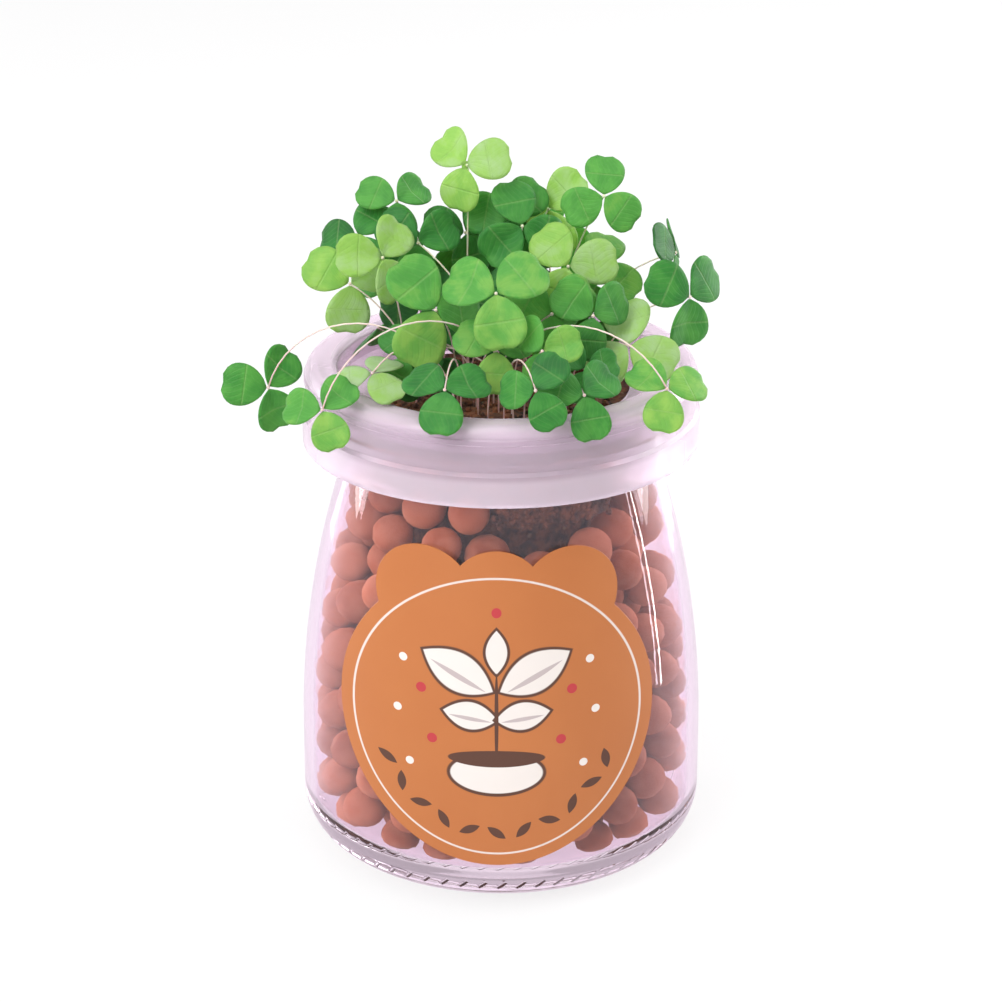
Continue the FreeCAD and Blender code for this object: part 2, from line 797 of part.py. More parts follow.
def grow(shares, places, thicket):
    """Place one seedling clear of the others, its head and its stem."""
    best = (float("inf"), None, None, None)
    tried = 0
    for leaf_head in trial_leaf_heads(shares):
        leaves = list(leaf_head.points())
        leaf_faults = count_faults(leaves, thicket, best[0])
        if leaf_faults >= best[0]:
            continue
        stem_faults, foot, stem = place_stem(leaf_head, leaves, places, thicket)
        tried += 1
        if leaf_faults + stem_faults < best[0]:
            best = (leaf_faults + stem_faults, foot, leaf_head, leaves + stem)
        if not best[0] or tried == trial_heads:
            break
    thicket.add(best[3])
    places.remove(best[1])
    return shares[0], best[0], best[1], best[2]


def seedlings():
    """All the seedlings, placed one after the other in the order of the table."""
    thicket = Thicket()
    places = list(planting_places())
    return [grow(shares, places, thicket) for shares in sprout_shares]


def sprout(base, leaf_head, blades):
    """One seedling: its stem with a root, and three leaflets."""
    if leaf_head.length not in blades:
        blades[leaf_head.length] = leaf_blade(leaf_head.length)
    solids = [stem_solid(base, leaf_head.head)]
    for start, along, normal in leaf_head.frames():
        solids.append(leaf_solid(blades[leaf_head.length], start, along, normal))
    return Part.makeCompound(solids)


def write(name, shape):
    shape.exportStep(os.path.join("parts", name + ".step"))


def main():
    os.makedirs("parts", exist_ok=True)
    write("glass_jar", glass_jar())
    write("rim_collar", rim_collar())
    write("front_label", front_label())
    balls = fill_balls()
    for index, layer in enumerate(ball_layer_shapes(balls)):
        write(f"clay_balls_layer_{index + 1:02d}", Part.makeCompound(layer))
    plants = seedlings()
    write("soil_plug", soil_plug([base for _, _, base, _ in plants]))
    blades = {}
    for name, faults, base, leaf_head in plants:
        write("sprout_" + name, sprout(base, leaf_head, blades))
        if faults:
            print("crowded seedling:", name, faults)
    print("clay balls:", len(balls))


main()
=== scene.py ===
"""Looks of a hydroponic jar planter: glass, clay balls, soil, collar, label and clover."""
import logging
import math
import random
from dataclasses import dataclass
from enum import Enum
from typing import Callable, Sequence

import bmesh
import bpy
import numpy as np
from mathutils import Matrix, Vector


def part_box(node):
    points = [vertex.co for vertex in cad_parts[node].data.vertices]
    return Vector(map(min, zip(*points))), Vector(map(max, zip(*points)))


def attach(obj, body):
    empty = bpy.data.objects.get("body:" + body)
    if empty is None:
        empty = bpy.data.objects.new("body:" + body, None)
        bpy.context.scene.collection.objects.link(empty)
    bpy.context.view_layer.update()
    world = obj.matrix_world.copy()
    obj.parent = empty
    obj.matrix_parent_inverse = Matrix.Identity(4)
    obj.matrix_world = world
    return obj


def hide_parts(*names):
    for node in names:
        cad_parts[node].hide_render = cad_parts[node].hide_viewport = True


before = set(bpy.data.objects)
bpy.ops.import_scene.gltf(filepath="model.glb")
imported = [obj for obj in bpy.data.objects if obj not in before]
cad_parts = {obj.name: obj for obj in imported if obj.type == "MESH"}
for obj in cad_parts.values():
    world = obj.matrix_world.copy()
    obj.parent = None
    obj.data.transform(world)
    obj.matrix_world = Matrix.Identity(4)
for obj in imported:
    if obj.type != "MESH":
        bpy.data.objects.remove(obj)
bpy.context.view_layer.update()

log = logging.getLogger("planter")

MM = 0.001
Colour = tuple[float, float, float]
Span = tuple[float, float]
Item = bpy.types.Object
Socket = bpy.types.NodeSocket
Source = Socket | float | tuple
# Coarse waves to the metre, fine waves to the metre, and how much of the height is fine.
Grain = tuple[float, float, float]

WHITE: Colour = (1.0, 1.0, 1.0)
GLINT_WHITE: Colour = (0.970, 0.880, 0.965)
MOTTLE_EDGES: Span = (0.32, 0.68)


def edit() -> None:
    """Edit the active object, with all of it selected."""
    bpy.ops.object.mode_set(mode="EDIT")
    bpy.ops.mesh.select_all(action="SELECT")


def leave_edit() -> None:
    """Go back to object mode."""
    bpy.ops.object.mode_set(mode="OBJECT")


def select(objects: Sequence[Item]) -> None:
    """Select these objects alone, the first one active.

    Args:
        objects: The objects to select.
    """
    bpy.ops.object.select_all(action="DESELECT")
    for item in objects:
        item.select_set(True)
    bpy.context.view_layer.objects.active = objects[0]


def added(name: str) -> Item:
    """Name the object that an operator has just added, and move its place into its mesh.

    Args:
        name: The object's new name.

    Returns:
        The active object, at the origin.
    """
    item = bpy.context.object
    item.name = item.data.name = name
    item.data.transform(item.matrix_basis)
    item.matrix_basis = Matrix.Identity(4)
    return item


def apply_modifiers(item: Item) -> None:
    """Apply an object's modifiers in their order.

    Args:
        item: The object to finish.
    """
    select([item])
    for modifier in list(item.modifiers):
        bpy.ops.object.modifier_apply(modifier=modifier.name)


def joined(items: Sequence[Item], name: str) -> Item:
    """Join objects into one.

    Args:
        items: The objects to join.
        name: The name of the result.

    Returns:
        The joined object.
    """
    select(items)
    if len(items) > 1:
        bpy.ops.object.join()
    return added(name)


def copy_of(item: Item, place: Matrix) -> Item:
    """Copy an object with its own mesh and set the copy in its place.

    Args:
        item: The object to copy.
        place: Where the copy's mesh goes.

    Returns:
        The copy, at the origin.
    """
    twin = item.copy()
    twin.data = item.data.copy()
    twin.data.transform(place)
    bpy.context.scene.collection.objects.link(twin)
    return twin


def remove(items: Sequence[Item]) -> None:
    """Delete pattern objects that only served to be copied."""
    for item in items:
        bpy.data.objects.remove(item)


def choose(item: Item, test: Callable[[Vector], bool]) -> None:
    """Select the vertices of an object in edit mode by their place.

    Args:
        item: The object, in edit mode.
        test: Says of a vertex's place whether it is selected.
    """
    mesh = bmesh.from_edit_mesh(item.data)
    mesh.select_mode = {"VERT"}
    for vert in mesh.verts:
        vert.select_set(test(vert.co))
    mesh.select_flush_mode()
    bmesh.update_edit_mesh(item.data)


def solids_of(node: Item) -> list[np.ndarray]:
    """Part a CAD node into its solids.

    Args:
        node: The node, whose mesh is read and left as it is.

    Returns:
        The vertices of each solid.
    """
    mesh = bmesh.new()
    mesh.from_mesh(node.data)
    bmesh.ops.remove_doubles(mesh, verts=mesh.verts, dist=MM * MM)
    seen = set()
    found = []
    for start in mesh.verts:
        if start in seen:
            continue
        seen.add(start)
        island = [start]
        for vert in island:
            for edge in vert.link_edges:
                other = edge.other_vert(vert)
                if other not in seen:
                    seen.add(other)
                    island.append(other)
        found.append(np.array([vert.co[:] for vert in island]))
    mesh.free()
    return found


class Tree:
    """A node tree with short calls that add and link nodes."""

    def __init__(self, tree: bpy.types.NodeTree) -> None:
        """Keep the tree."""
        self.tree = tree

    def feed(self, socket: Socket, value: Source) -> None:
        """Link a socket's source, or set its plain value."""
        if isinstance(value, Socket):
            self.tree.links.new(value, socket)
        else:
            socket.default_value = value

    def add(
        self, kind: str, settings: dict | None = None, inputs: dict | None = None
    ) -> bpy.types.Node:
        """Add a shader node.

        Args:
            kind: The node's type without its common prefix.
            settings: The node's own properties.
            inputs: Values or sources of its sockets, by name or index.

        Returns:
            The node.
        """
        node = self.tree.nodes.new("ShaderNode" + kind)
        for name, value in (settings or {}).items():
            setattr(node, name, value)
        for name, value in (inputs or {}).items():
            self.feed(node.inputs[name], value)
        return node

    def math(self, operation: str, *values: Source) -> Socket:
        """Combine numbers, or their sources, with one Math node."""
        return self.add("Math", {"operation": operation}, dict(enumerate(values))).outputs[0]

    def principled(self, inputs: dict) -> Socket:
        """A Principled shader with these values or sources."""
        return self.add("BsdfPrincipled", inputs=inputs).outputs[0]

    def blend(self, share: Source, first: Source, second: Source) -> Socket:
        """Blend two colours, or their sources, by how much of the second one shows."""
        first, second = ((*c, 1.0) if isinstance(c, tuple) else c for c in (first, second))
        return self.add("Mix", {"data_type": "RGBA"}, {0: share, 6: first, 7: second}).outputs[2]

    def ramp(self, value: Source, stops: Sequence[tuple[float, Colour]]) -> Socket:
        """Colour a value by a ramp.

        Args:
            value: The source of the value.
            stops: Places and colours along the ramp.

        Returns:
            The colour.
        """
        node = self.add("ValToRGB", inputs={0: value})
        ramp = node.color_ramp
        while len(ramp.elements) < len(stops):
            ramp.elements.new(0.5)
        for element, (place, colour) in zip(ramp.elements, stops):
            element.position = place
            element.color = (*colour, 1.0)
        return node.outputs[0]

    def reach(
        self, value: Source, low: float, high: float, first: float = 0.0, last: float = 1.0
    ) -> Socket:
        """Map a value smoothly from the range of low to high to that of first to last."""
        inputs = dict(enumerate((value, low, high, first, last)))
        return self.add("MapRange", {"interpolation_type": "SMOOTHSTEP"}, inputs).outputs[0]

    def object_place(self) -> Socket:
        """The place on the object, in metres."""
        return self.add("TexCoord").outputs["Object"]

    def parts(self, vector: Socket) -> list[Socket]:
        """The three parts of a vector."""
        return list(self.add("SeparateXYZ", inputs={0: vector}).outputs)

    def noise(self, vector: Socket, scale: Socket, detail: float, rough: float) -> Socket:
        """Noise at a scale, in waves to the metre."""
        inputs = {"Vector": vector, "Scale": scale, "Detail": detail, "Roughness": rough}
        return self.add("TexNoise", inputs=inputs).outputs[0]


def lamps_pass(tree: Tree, shader: Socket, tint: Colour) -> Socket:
    """Let the light of lamps pass through a clear shader.

    Args:
        tree: The material's tree.
        shader: The clear shader.
        tint: The colour that the light takes.

    Returns:
        The mixed shader.
    """
    lamps = tree.add("LightPath").outputs["Is Shadow Ray"]
    clear = tree.add("BsdfTransparent", inputs={"Color": (*tint, 1.0)})
    return tree.add("MixShader", inputs={0: lamps, 1: shader, 2: clear.outputs[0]}).outputs[0]


def white_seen(tree: Tree) -> Socket:
    """1 for the rays that show the background to the camera, in gloss and through glass."""
    path = tree.add("LightPath").outputs
    seen = tree.math("MAXIMUM", path["Is Camera Ray"], path["Is Glossy Ray"])
    return tree.math("MAXIMUM", seen, path["Is Transmission Ray"])


def white_tone(tree: Tree) -> Socket:
    """White, with a faint pink in gloss and through glass."""
    path = tree.add("LightPath").outputs
    glint = tree.math("MAXIMUM", path["Is Glossy Ray"], path["Is Transmission Ray"])
    return tree.blend(glint, WHITE, GLINT_WHITE)


def effect_group(
    name: str, inputs: dict, outputs: dict
) -> tuple[bpy.types.NodeTree, Tree, dict, dict]:
    """Start a shared effect as a node group.

    Args:
        name: The group's name.
        inputs: Socket kinds by input name.
        outputs: Socket kinds by output name.

    Returns:
        The group, its tree, and the sockets of its inputs and outputs by name.
    """
    group = bpy.data.node_groups.new(name, "ShaderNodeTree")
    for side, sockets in (("INPUT", inputs), ("OUTPUT", outputs)):
        for label, kind in sockets.items():
            group.interface.new_socket(label, in_out=side, socket_type="NodeSocket" + kind)
    given = {s.name: s for s in group.nodes.new("NodeGroupInput").outputs}
    result = {s.name: s for s in group.nodes.new("NodeGroupOutput").inputs}
    return group, Tree(group), given, result


def grain_group() -> bpy.types.NodeTree:
    """Build the shared surface grain: a coarse and a fine noise, as a height and a mottle.

    Returns:
        The node group.
    """
    group, tree, given, result = effect_group(
        "Surface grain",
        {"Place": "Vector", "Coarse": "Float", "Fine": "Float", "Fine share": "Float"},
        {"Height": "Float", "Mottle": "Float"},
    )
    coarse = tree.noise(given["Place"], given["Coarse"], detail=3.0, rough=0.55)
    fine = tree.noise(given["Place"], given["Fine"], detail=2.0, rough=0.7)
    mixed = tree.add("Mix", {"data_type": "FLOAT"}, {0: given["Fine share"], 2: coarse, 3: fine})
    tree.feed(result["Height"], mixed.outputs[0])
    tree.feed(result["Mottle"], tree.reach(coarse, *MOTTLE_EDGES))
    return group


GRAIN = grain_group()


def grain(tree: Tree, values: Grain) -> list[Socket]:
    """Place the shared surface grain and give its height and its mottle."""
    inputs = dict(zip(("Place", "Coarse", "Fine", "Fine share"), (tree.object_place(), *values)))
    return list(tree.add("Group", {"node_tree": GRAIN}, inputs).outputs)


def bump(tree: Tree, height: Socket, depth: float) -> Socket:
    """A bump of a height, whose full depth is in metres."""
    inputs = {"Height": height, "Distance": depth, "Strength": 1.0}
    return tree.add("Bump", inputs=inputs).outputs[0]


class Finish:
    """A finish of the planter, which builds its own material."""

    def shader(self, tree: Tree) -> Socket:
        """Build the finish's shader.

        Args:
            tree: The material's tree.

        Returns:
            The shader's output.
        """
        raise NotImplementedError

    def material(self, name: str) -> bpy.types.Material:
        """Build the material.

        Args:
            name: The material's name.

        Returns:
            The material.
        """
        material = bpy.data.materials.new(name)
        material.use_nodes = True
        material.node_tree.nodes.clear()
        tree = Tree(material.node_tree)
        tree.add("OutputMaterial", inputs={"Surface": self.shader(tree)})
        return material


@dataclass(frozen=True)
class ClearGlass(Finish):
    """Pressed glass with a pink tint towards its edges and soft waves from the mould."""

    tint: Colour = (0.985, 0.925, 0.965)
    edge_tint: Colour = (0.955, 0.690, 0.935)
    edge_reach: float = 0.30
    shadow_tint: Colour = (0.93, 0.91, 0.92)
    # Painted shade: the grey that rays take once they have bounced inside the glass more than
    # most_glints times, for the grey of the thick base.
    trapped_painted_shade: Colour = (0.34, 0.30, 0.32)
    refraction: float = 1.47
    most_glints: float = 2.5
    roughness: float = 0.012
    waves: Grain = (95.0, 285.0, 0.1)
    wave_depth: float = 0.04 * MM

    def shader(self, tree: Tree) -> Socket:
        """Build the glass. Light that is thrown back and forth inside it leaves it unbent, in a
        painted shade of grey.
        """
        height, _ = grain(tree, self.waves)
        slant = tree.add("LayerWeight", inputs={"Blend": self.edge_reach}).outputs["Facing"]
        glints = tree.add("LightPath").outputs["Glossy Depth"]
        # Rays that have bounced more than most_glints times get the painted grey shade and go
        # straight on.
        trapped = tree.math("GREATER_THAN", glints, self.most_glints)
        tint = tree.blend(slant, self.tint, self.edge_tint)
        glass = tree.add("BsdfPrincipled", inputs={
            "Base Color": tree.blend(trapped, tint, self.trapped_painted_shade),
            "Roughness": self.roughness,
            "IOR": self.refraction,
            "Transmission Weight": 1.0,
            "Normal": bump(tree, height, self.wave_depth),
        })
        tree.feed(glass.inputs["IOR"], tree.reach(trapped, 0.0, 1.0, self.refraction, 1.0))
        return lamps_pass(tree, glass.outputs[0], self.shadow_tint)


@dataclass(frozen=True)
class FrostedPlastic(Finish):
    """Moulded plastic that lets light through, matt, with painted shade on its skirt's middle
    band, darkest where it faces the camera.
    """

    tint: Colour = (0.995, 0.900, 0.980)
    # Painted shade: the colour of the skirt's middle band where it faces the camera, for the dark
    # soil and glass seen through it.
    skirt_painted_shade: Colour = (0.800, 0.690, 0.785)
    # Heights of the band that gets the painted shade, and how softly it fades in and out.
    shade_band_low: float = 79.0 * MM
    shade_band_high: float = 85.0 * MM
    shade_band_fade: float = 1.2 * MM
    edge_reach: float = 0.45
    shadow_tint: Colour = (0.70, 0.65, 0.69)
    transmission: float = 0.70
    refraction: float = 1.42
    roughness: float = 0.19
    skin: Grain = (260.0, 1040.0, 0.4)
    skin_depth: float = 0.004 * MM

    def shader(self, tree: Tree) -> Socket:
        """Build the plastic."""
        skin, _ = grain(tree, self.skin)
        height = tree.parts(tree.object_place())[2]
        rise = tree.reach(height, self.shade_band_low - self.shade_band_fade, self.shade_band_low)
        fall = tree.reach(height, self.shade_band_high, self.shade_band_high + self.shade_band_fade, 1.0, 0.0)
        slant = tree.add("LayerWeight", inputs={"Blend": self.edge_reach}).outputs["Facing"]
        # Painted shade: a mask of the band between these heights, fading towards the edges that
        # turn away from the camera.
        painted_shade = tree.math("MULTIPLY", rise, fall)
        painted_shade = tree.math("MULTIPLY", painted_shade, tree.math("SUBTRACT", 1.0, slant))
        plastic = tree.principled({
            "Base Color": tree.blend(painted_shade, self.tint, self.skirt_painted_shade),
            "IOR": self.refraction,
            "Transmission Weight": self.transmission,
            "Roughness": self.roughness,
            "Normal": bump(tree, skin, self.skin_depth),
        })
        return lamps_pass(tree, plastic, self.shadow_tint)


@dataclass(frozen=True)
class FiredClay(Finish):
    """Matt fired clay with dusty mottling, each ball lighter or darker by its own tone."""

    light: Colour = (0.59, 0.205, 0.092)
    mean: Colour = (0.45, 0.130, 0.050)
    dark: Colour = (0.29, 0.074, 0.027)
    dust: Colour = (0.62, 0.30, 0.18)
    dust_share: float = 0.35
    skin: Grain = (260.0, 2600.0, 0.45)
    pit_depth: float = 0.13 * MM
    roughness: float = 0.88
    grain_roughness: float = 0.8
    shine: float = 0.25

    def shader(self, tree: Tree) -> Socket:
        """Build the clay."""
        skin, mottle = grain(tree, self.skin)
        tone = tree.add("Attribute", {"attribute_name": "tone"}).outputs["Fac"]
        colour = tree.ramp(tone, [(0.0, self.dark), (0.5, self.mean), (1.0, self.light)])
        dust = tree.math("MULTIPLY", mottle, self.dust_share)
        return tree.principled({
            "Base Color": tree.blend(dust, colour, self.dust),
            "Roughness": self.roughness,
            "Diffuse Roughness": self.grain_roughness,
            "Specular IOR Level": self.shine,
            "Normal": bump(tree, skin, self.pit_depth),
        })


@dataclass(frozen=True)
class DarkSoil(Finish):
    """Moist dark soil with paler flecks and deep grain."""

    deep: Colour = (0.022, 0.008, 0.003)
    brown: Colour = (0.210, 0.072, 0.026)
    fleck: Colour = (0.30, 0.19, 0.12)
    crumbs: Grain = (520.0, 2600.0, 0.4)
    fleck_scale: float = 1500.0
    fleck_edges: Span = (0.86, 0.95)
    fleck_share: float = 0.5
    depth: float = 0.6 * MM
    roughness: float = 0.8

    def shader(self, tree: Tree) -> Socket:
        """Build the soil."""
        crumbs, mottle = grain(tree, self.crumbs)
        inputs = {"Vector": tree.object_place(), "Scale": self.fleck_scale}
        cells = tree.add("TexVoronoi", inputs=inputs).outputs["Color"]
        flecks = tree.reach(cells, *self.fleck_edges)
        colour = tree.blend(mottle, self.deep, self.brown)
        colour = tree.blend(tree.math("MULTIPLY", flecks, self.fleck_share), colour, self.fleck)
        return tree.principled({
            "Base Color": colour,
            "Roughness": self.roughness,
            "Normal": bump(tree, crumbs, self.depth),
        })


@dataclass(frozen=True)
class LeafGreen(Finish):
    """A clover leaflet: green by its seedling's tone, for some seedlings a painted shade, pale
    midrib, fine side veins, soft glow.
    """

    stops: tuple = (
        (0.00, (0.004, 0.115, 0.022)),
        (0.25, (0.040, 0.275, 0.044)),
        (0.50, (0.125, 0.455, 0.078)),
        (0.75, (0.370, 0.640, 0.130)),
        (1.00, (0.500, 0.680, 0.380)),
    )
    rib: Colour = (0.52, 0.74, 0.28)
    rib_edges: Span = (0.008, 0.030)
    rib_share: float = 0.17
    rib_relief: float = -1.2
    vein_count: float = 8.0
    vein_lean: float = 0.55
    vein_edges: Span = (0.06, 0.20)
    vein_share: float = 0.04
    vein_relief: float = -0.4
    skin: Grain = (340.0, 2400.0, 0.3)
    depth: float = 0.07 * MM
    drift: float = 0.16
    roughness: float = 0.52
    shine: float = 0.35
    sheen: float = 0.12
    glow: float = 0.34
    glow_tint: Colour = (0.60, 0.86, 0.14)
    glow_tint_share: float = 0.4

    def veins(self, tree: Tree) -> tuple[Socket, Socket]:
        """Masks of the midrib and of the side veins, from the leaf's own map.

        Args:
            tree: The material's tree.

        Returns:
            The midrib's mask and the side veins' mask.
        """
        leaf_map = tree.add("UVMap", {"uv_map": "LeafMap"}).outputs[0]
        across, up, _ = tree.parts(leaf_map)
        aside = tree.math("ABSOLUTE", tree.math("SUBTRACT", across, 0.5))
        midrib = tree.reach(aside, *self.rib_edges, 1.0, 0.0)
        lean = tree.math("MULTIPLY", aside, self.vein_lean * self.vein_count)
        along = tree.math("SUBTRACT", tree.math("MULTIPLY", up, self.vein_count), lean)
        wave = tree.math("ABSOLUTE", tree.math("SUBTRACT", tree.math("FRACT", along), 0.5))
        return midrib, tree.reach(wave, *self.vein_edges, 1.0, 0.0)

    def shader(self, tree: Tree) -> Socket:
        """Build the leaf."""
        midrib, side_veins = self.veins(tree)
        skin, mottle = grain(tree, self.skin)
        tone = tree.add("Attribute", {"attribute_name": "tone"}).outputs["Fac"]
        drift = tree.math("MULTIPLY", tree.math("SUBTRACT", mottle, 0.5), self.drift)
        colour = tree.ramp(tree.math("ADD", tone, drift), self.stops)
        colour = tree.blend(tree.math("MULTIPLY", side_veins, self.vein_share), colour, self.rib)
        colour = tree.blend(tree.math("MULTIPLY", midrib, self.rib_share), colour, self.rib)
        relief = tree.math("MULTIPLY_ADD", side_veins, self.vein_relief, skin)
        relief = tree.math("MULTIPLY_ADD", midrib, self.rib_relief, relief)
        face = tree.principled({
            "Base Color": colour,
            "Roughness": self.roughness,
            "Specular IOR Level": self.shine,
            "Sheen Weight": self.sheen,
            "Normal": bump(tree, relief, self.depth),
        })
        lit = tree.blend(self.glow_tint_share, colour, self.glow_tint)
        through = tree.add("BsdfTranslucent", inputs={"Color": lit}).outputs[0]
        return tree.add("MixShader", inputs={0: self.glow, 1: face, 2: through}).outputs[0]


@dataclass(frozen=True)
class StemGreen(Finish):
    """A seedling's stem: pale pink near the soil, green near its head."""

    foot: Colour = (0.74, 0.47, 0.46)
    middle: Colour = (0.84, 0.66, 0.62)
    middle_share: float = 0.45
    head: Colour = (0.62, 0.68, 0.40)
    foot_height: float = 82 * MM
    head_height: float = 118 * MM
    bloom: Colour = (0.85, 0.86, 0.7)
    bloom_share: float = 0.2
    skin: Grain = (500.0, 3000.0, 0.4)
    depth: float = 0.05 * MM
    roughness: float = 0.45
    flesh: float = 0.15
    flesh_depth: float = 0.4 * MM

    def shader(self, tree: Tree) -> Socket:
        """Build the stem's skin."""
        height = tree.parts(tree.object_place())[2]
        rise = tree.reach(height, self.foot_height, self.head_height)
        skin, mottle = grain(tree, self.skin)
        stops = [(0.0, self.foot), (self.middle_share, self.middle), (1.0, self.head)]
        colour = tree.ramp(rise, stops)
        bloom = tree.math("MULTIPLY", mottle, self.bloom_share)
        return tree.principled({
            "Base Color": tree.blend(bloom, colour, self.bloom),
            "Roughness": self.roughness,
            "Subsurface Weight": self.flesh,
            "Subsurface Scale": self.flesh_depth,
            "Normal": bump(tree, skin, self.depth),
        })


class Ink(Enum):
    """The inks of the label's print."""

    BROWN = (0.105, 0.045, 0.028)
    CREAM = (0.80, 0.74, 0.70)
    SHADE = (0.52, 0.44, 0.44)
    RED = (0.50, 0.045, 0.055)


@dataclass(frozen=True)
class PrintedPaper(Finish):
    """Sticker paper printed with a sprig in a bowl, a garland of leaves and a fine ring.

    The print's measures are in millimetres from the label's centre.
    """

    ground: Colour = (0.50, 0.165, 0.048)
    lit: Colour = (0.66, 0.26, 0.08)
    lit_share: float = 0.10
    centre_x: float = -0.75 * MM
    centre_z: float = 35.6 * MM
    patches: Grain = (55.0, 2600.0, 0.5)
    fibres: Grain = (900.0, 5200.0, 0.5)
    fibre_depth: float = 0.02 * MM
    roughness: float = 0.5
    shine: float = 0.35
    mark_edges: Span = (-0.03, 0.05)
    ring_radius: float = 24.2
    ring_edges: Span = (0.10, 0.24)
    ring_share: float = 0.85
    garland_radius: float = 20.3
    garland_pairs: int = 5
    garland_step: float = 13.0
    garland_lean: float = 35.0
    garland_leaf: Span = (1.9, 0.75)
    outline: Span = (0.62, 0.55)
    sprig_leaves: tuple = ((6.4, 8.4, 6.6, 3.3, 28.0), (4.4, 1.0, 4.6, 2.4, 8.0))
    shade_drop: float = 0.22
    shade_size: Span = (0.8, 0.14)
    middle_rows: tuple = (
        (Ink.BROWN, 0.0, 12.0, 4.3, 2.3, 90.0, 1),
        (Ink.CREAM, 0.0, 12.0, 3.7, 1.8, 90.0, 1),
        (Ink.BROWN, 0.0, 0.5, 8.0, 0.34, 90.0, 0),
        (Ink.BROWN, 0.0, -9.3, 8.4, 4.2, 0.0, 0),
        (Ink.CREAM, 0.0, -9.3, 7.8, 3.6, 0.0, 0),
        (Ink.BROWN, 0.0, -6.6, 8.2, 1.5, 0.0, 0),
    )
    dots: tuple = (
        (Ink.RED, 0.85, (-12.6, 5.0), (12.6, 5.0), (-10.8, -3.6), (10.8, -3.6), (0.0, 18.6)),
        (Ink.CREAM, 0.7, (-15.6, 9.6), (-16.6, 0.8), (-14.6, -8.4)),
        (Ink.CREAM, 0.7, (15.6, 9.6), (16.6, 0.8), (14.6, -8.4)),
    )

    def mark_group(self) -> bpy.types.NodeTree:
        """A printed mark: a pointed leaf or an oval, as a soft-edged mask.

        Returns:
            The node group.
        """
        group, tree, given, result = effect_group(
            "Printed mark",
            dict.fromkeys(("Place", "Middle", "Turn", "Size"), "Vector") | {"Pointed": "Float"},
            {"Inside": "Float"},
        )
        inner = tree.add("Mapping", {"vector_type": "TEXTURE"}, {
            "Vector": given["Place"], "Location": given["Middle"],
            "Rotation": given["Turn"], "Scale": given["Size"],
        })
        x, y, _ = tree.parts(inner.outputs[0])
        across = tree.math("ABSOLUTE", y)
        along = tree.math("MULTIPLY", x, x)
        leaf = tree.math("SUBTRACT", tree.math("SUBTRACT", 1.0, along), across)
        round_in = tree.math("ADD", along, tree.math("MULTIPLY", across, across))
        oval = tree.math("SUBTRACT", 1.0, round_in)
        kind = tree.add("Mix", {"data_type": "FLOAT"}, {0: given["Pointed"], 2: oval, 3: leaf})
        tree.feed(result["Inside"], tree.reach(kind.outputs[0], *self.mark_edges))
        return group

    def marks(self) -> list[tuple]:
        """The print's marks in their order.

        Returns:
            Rows of ink, x, z, half length, half width, turn in degrees, and 1 if pointed.
        """
        rows = []
        for step in range(-self.garland_pairs, self.garland_pairs + 1):
            turn = math.radians(step * self.garland_step)
            x, z = self.garland_radius * math.sin(turn), -self.garland_radius * math.cos(turn)
            lean = math.degrees(turn) + (self.garland_lean if step % 2 else -self.garland_lean)
            rows.append((Ink.BROWN, x, z, *self.garland_leaf, lean, 1))
        for side in (-1, 1):
            for x, z, long, wide, turn in self.sprig_leaves:
                x, lean = side * x, turn if side > 0 else 180.0 - turn
                outline = long + self.outline[0], wide + self.outline[1]
                rows.append((Ink.BROWN, x, z, *outline, lean, 1))
                rows.append((Ink.CREAM, x, z, long, wide, lean, 1))
                shade = long * self.shade_size[0], wide * self.shade_size[1]
                rows.append((Ink.SHADE, x, z - wide * self.shade_drop, *shade, lean, 1))
        rows += self.middle_rows
        for ink, radius, *places in self.dots:
            rows += [(ink, x, z, radius, radius, 0.0, 0) for x, z in places]
        return rows

    def print_colours(self, tree: Tree, place: Socket) -> Socket:
        """Lay the inks on the ground colour.

        Args:
            tree: The material's tree.
            place: The place on the label in millimetres, x across and y up.

        Returns:
            The printed colour.
        """
        group = self.mark_group()
        patches = tree.math("MULTIPLY", grain(tree, self.patches)[1], self.lit_share)
        lit = tree.blend(patches, self.ground, self.lit)
        away = tree.add("VectorMath", {"operation": "LENGTH"}, {0: place}).outputs["Value"]
        ring = tree.math("ABSOLUTE", tree.math("SUBTRACT", away, self.ring_radius))
        ring = tree.reach(ring, *self.ring_edges, self.ring_share, 0.0)
        colour = tree.blend(ring, lit, Ink.CREAM.value)
        for ink, x, z, long, wide, turn, pointed in self.marks():
            mark = tree.add("Group", {"node_tree": group}, {
                "Place": place,
                "Middle": (x, z, 0.0),
                "Turn": (0.0, 0.0, math.radians(turn)),
                "Size": (long, wide, 1.0),
                "Pointed": pointed,
            })
            colour = tree.blend(mark.outputs["Inside"], colour, ink.value)
        return colour

    def shader(self, tree: Tree) -> Socket:
        """Build the printed paper."""
        x, _, z = tree.parts(tree.object_place())
        x = tree.math("DIVIDE", tree.math("SUBTRACT", x, self.centre_x), MM)
        z = tree.math("DIVIDE", tree.math("SUBTRACT", z, self.centre_z), MM)
        place = tree.add("CombineXYZ", inputs={0: x, 1: z, 2: 0.0}).outputs[0]
        colour = self.print_colours(tree, place)
        fibres, _ = grain(tree, self.fibres)
        return tree.principled({
            "Base Color": colour,
            "Roughness": self.roughness,
            "Specular IOR Level": self.shine,
            "Normal": bump(tree, fibres, self.fibre_depth),
        })


@dataclass(frozen=True)
class PaleFloor(Finish):
    """The studio's floor: white in sight, in gloss and through glass, with a soft shadow."""

    paint: Colour = (0.90, 0.89, 0.895)
    glow: float = 0.76

    def shader(self, tree: Tree) -> Socket:
        """Build the floor's paint and glow."""
        paint = tree.add("BsdfDiffuse", inputs={"Color": (*self.paint, 1.0)}).outputs[0]
        glow = tree.add("Emission", inputs={"Color": white_tone(tree), "Strength": 1.0}).outputs[0]
        share = tree.math("MULTIPLY", white_seen(tree), self.glow)
        return tree.add("MixShader", inputs={0: share, 1: paint, 2: glow}).outputs[0]


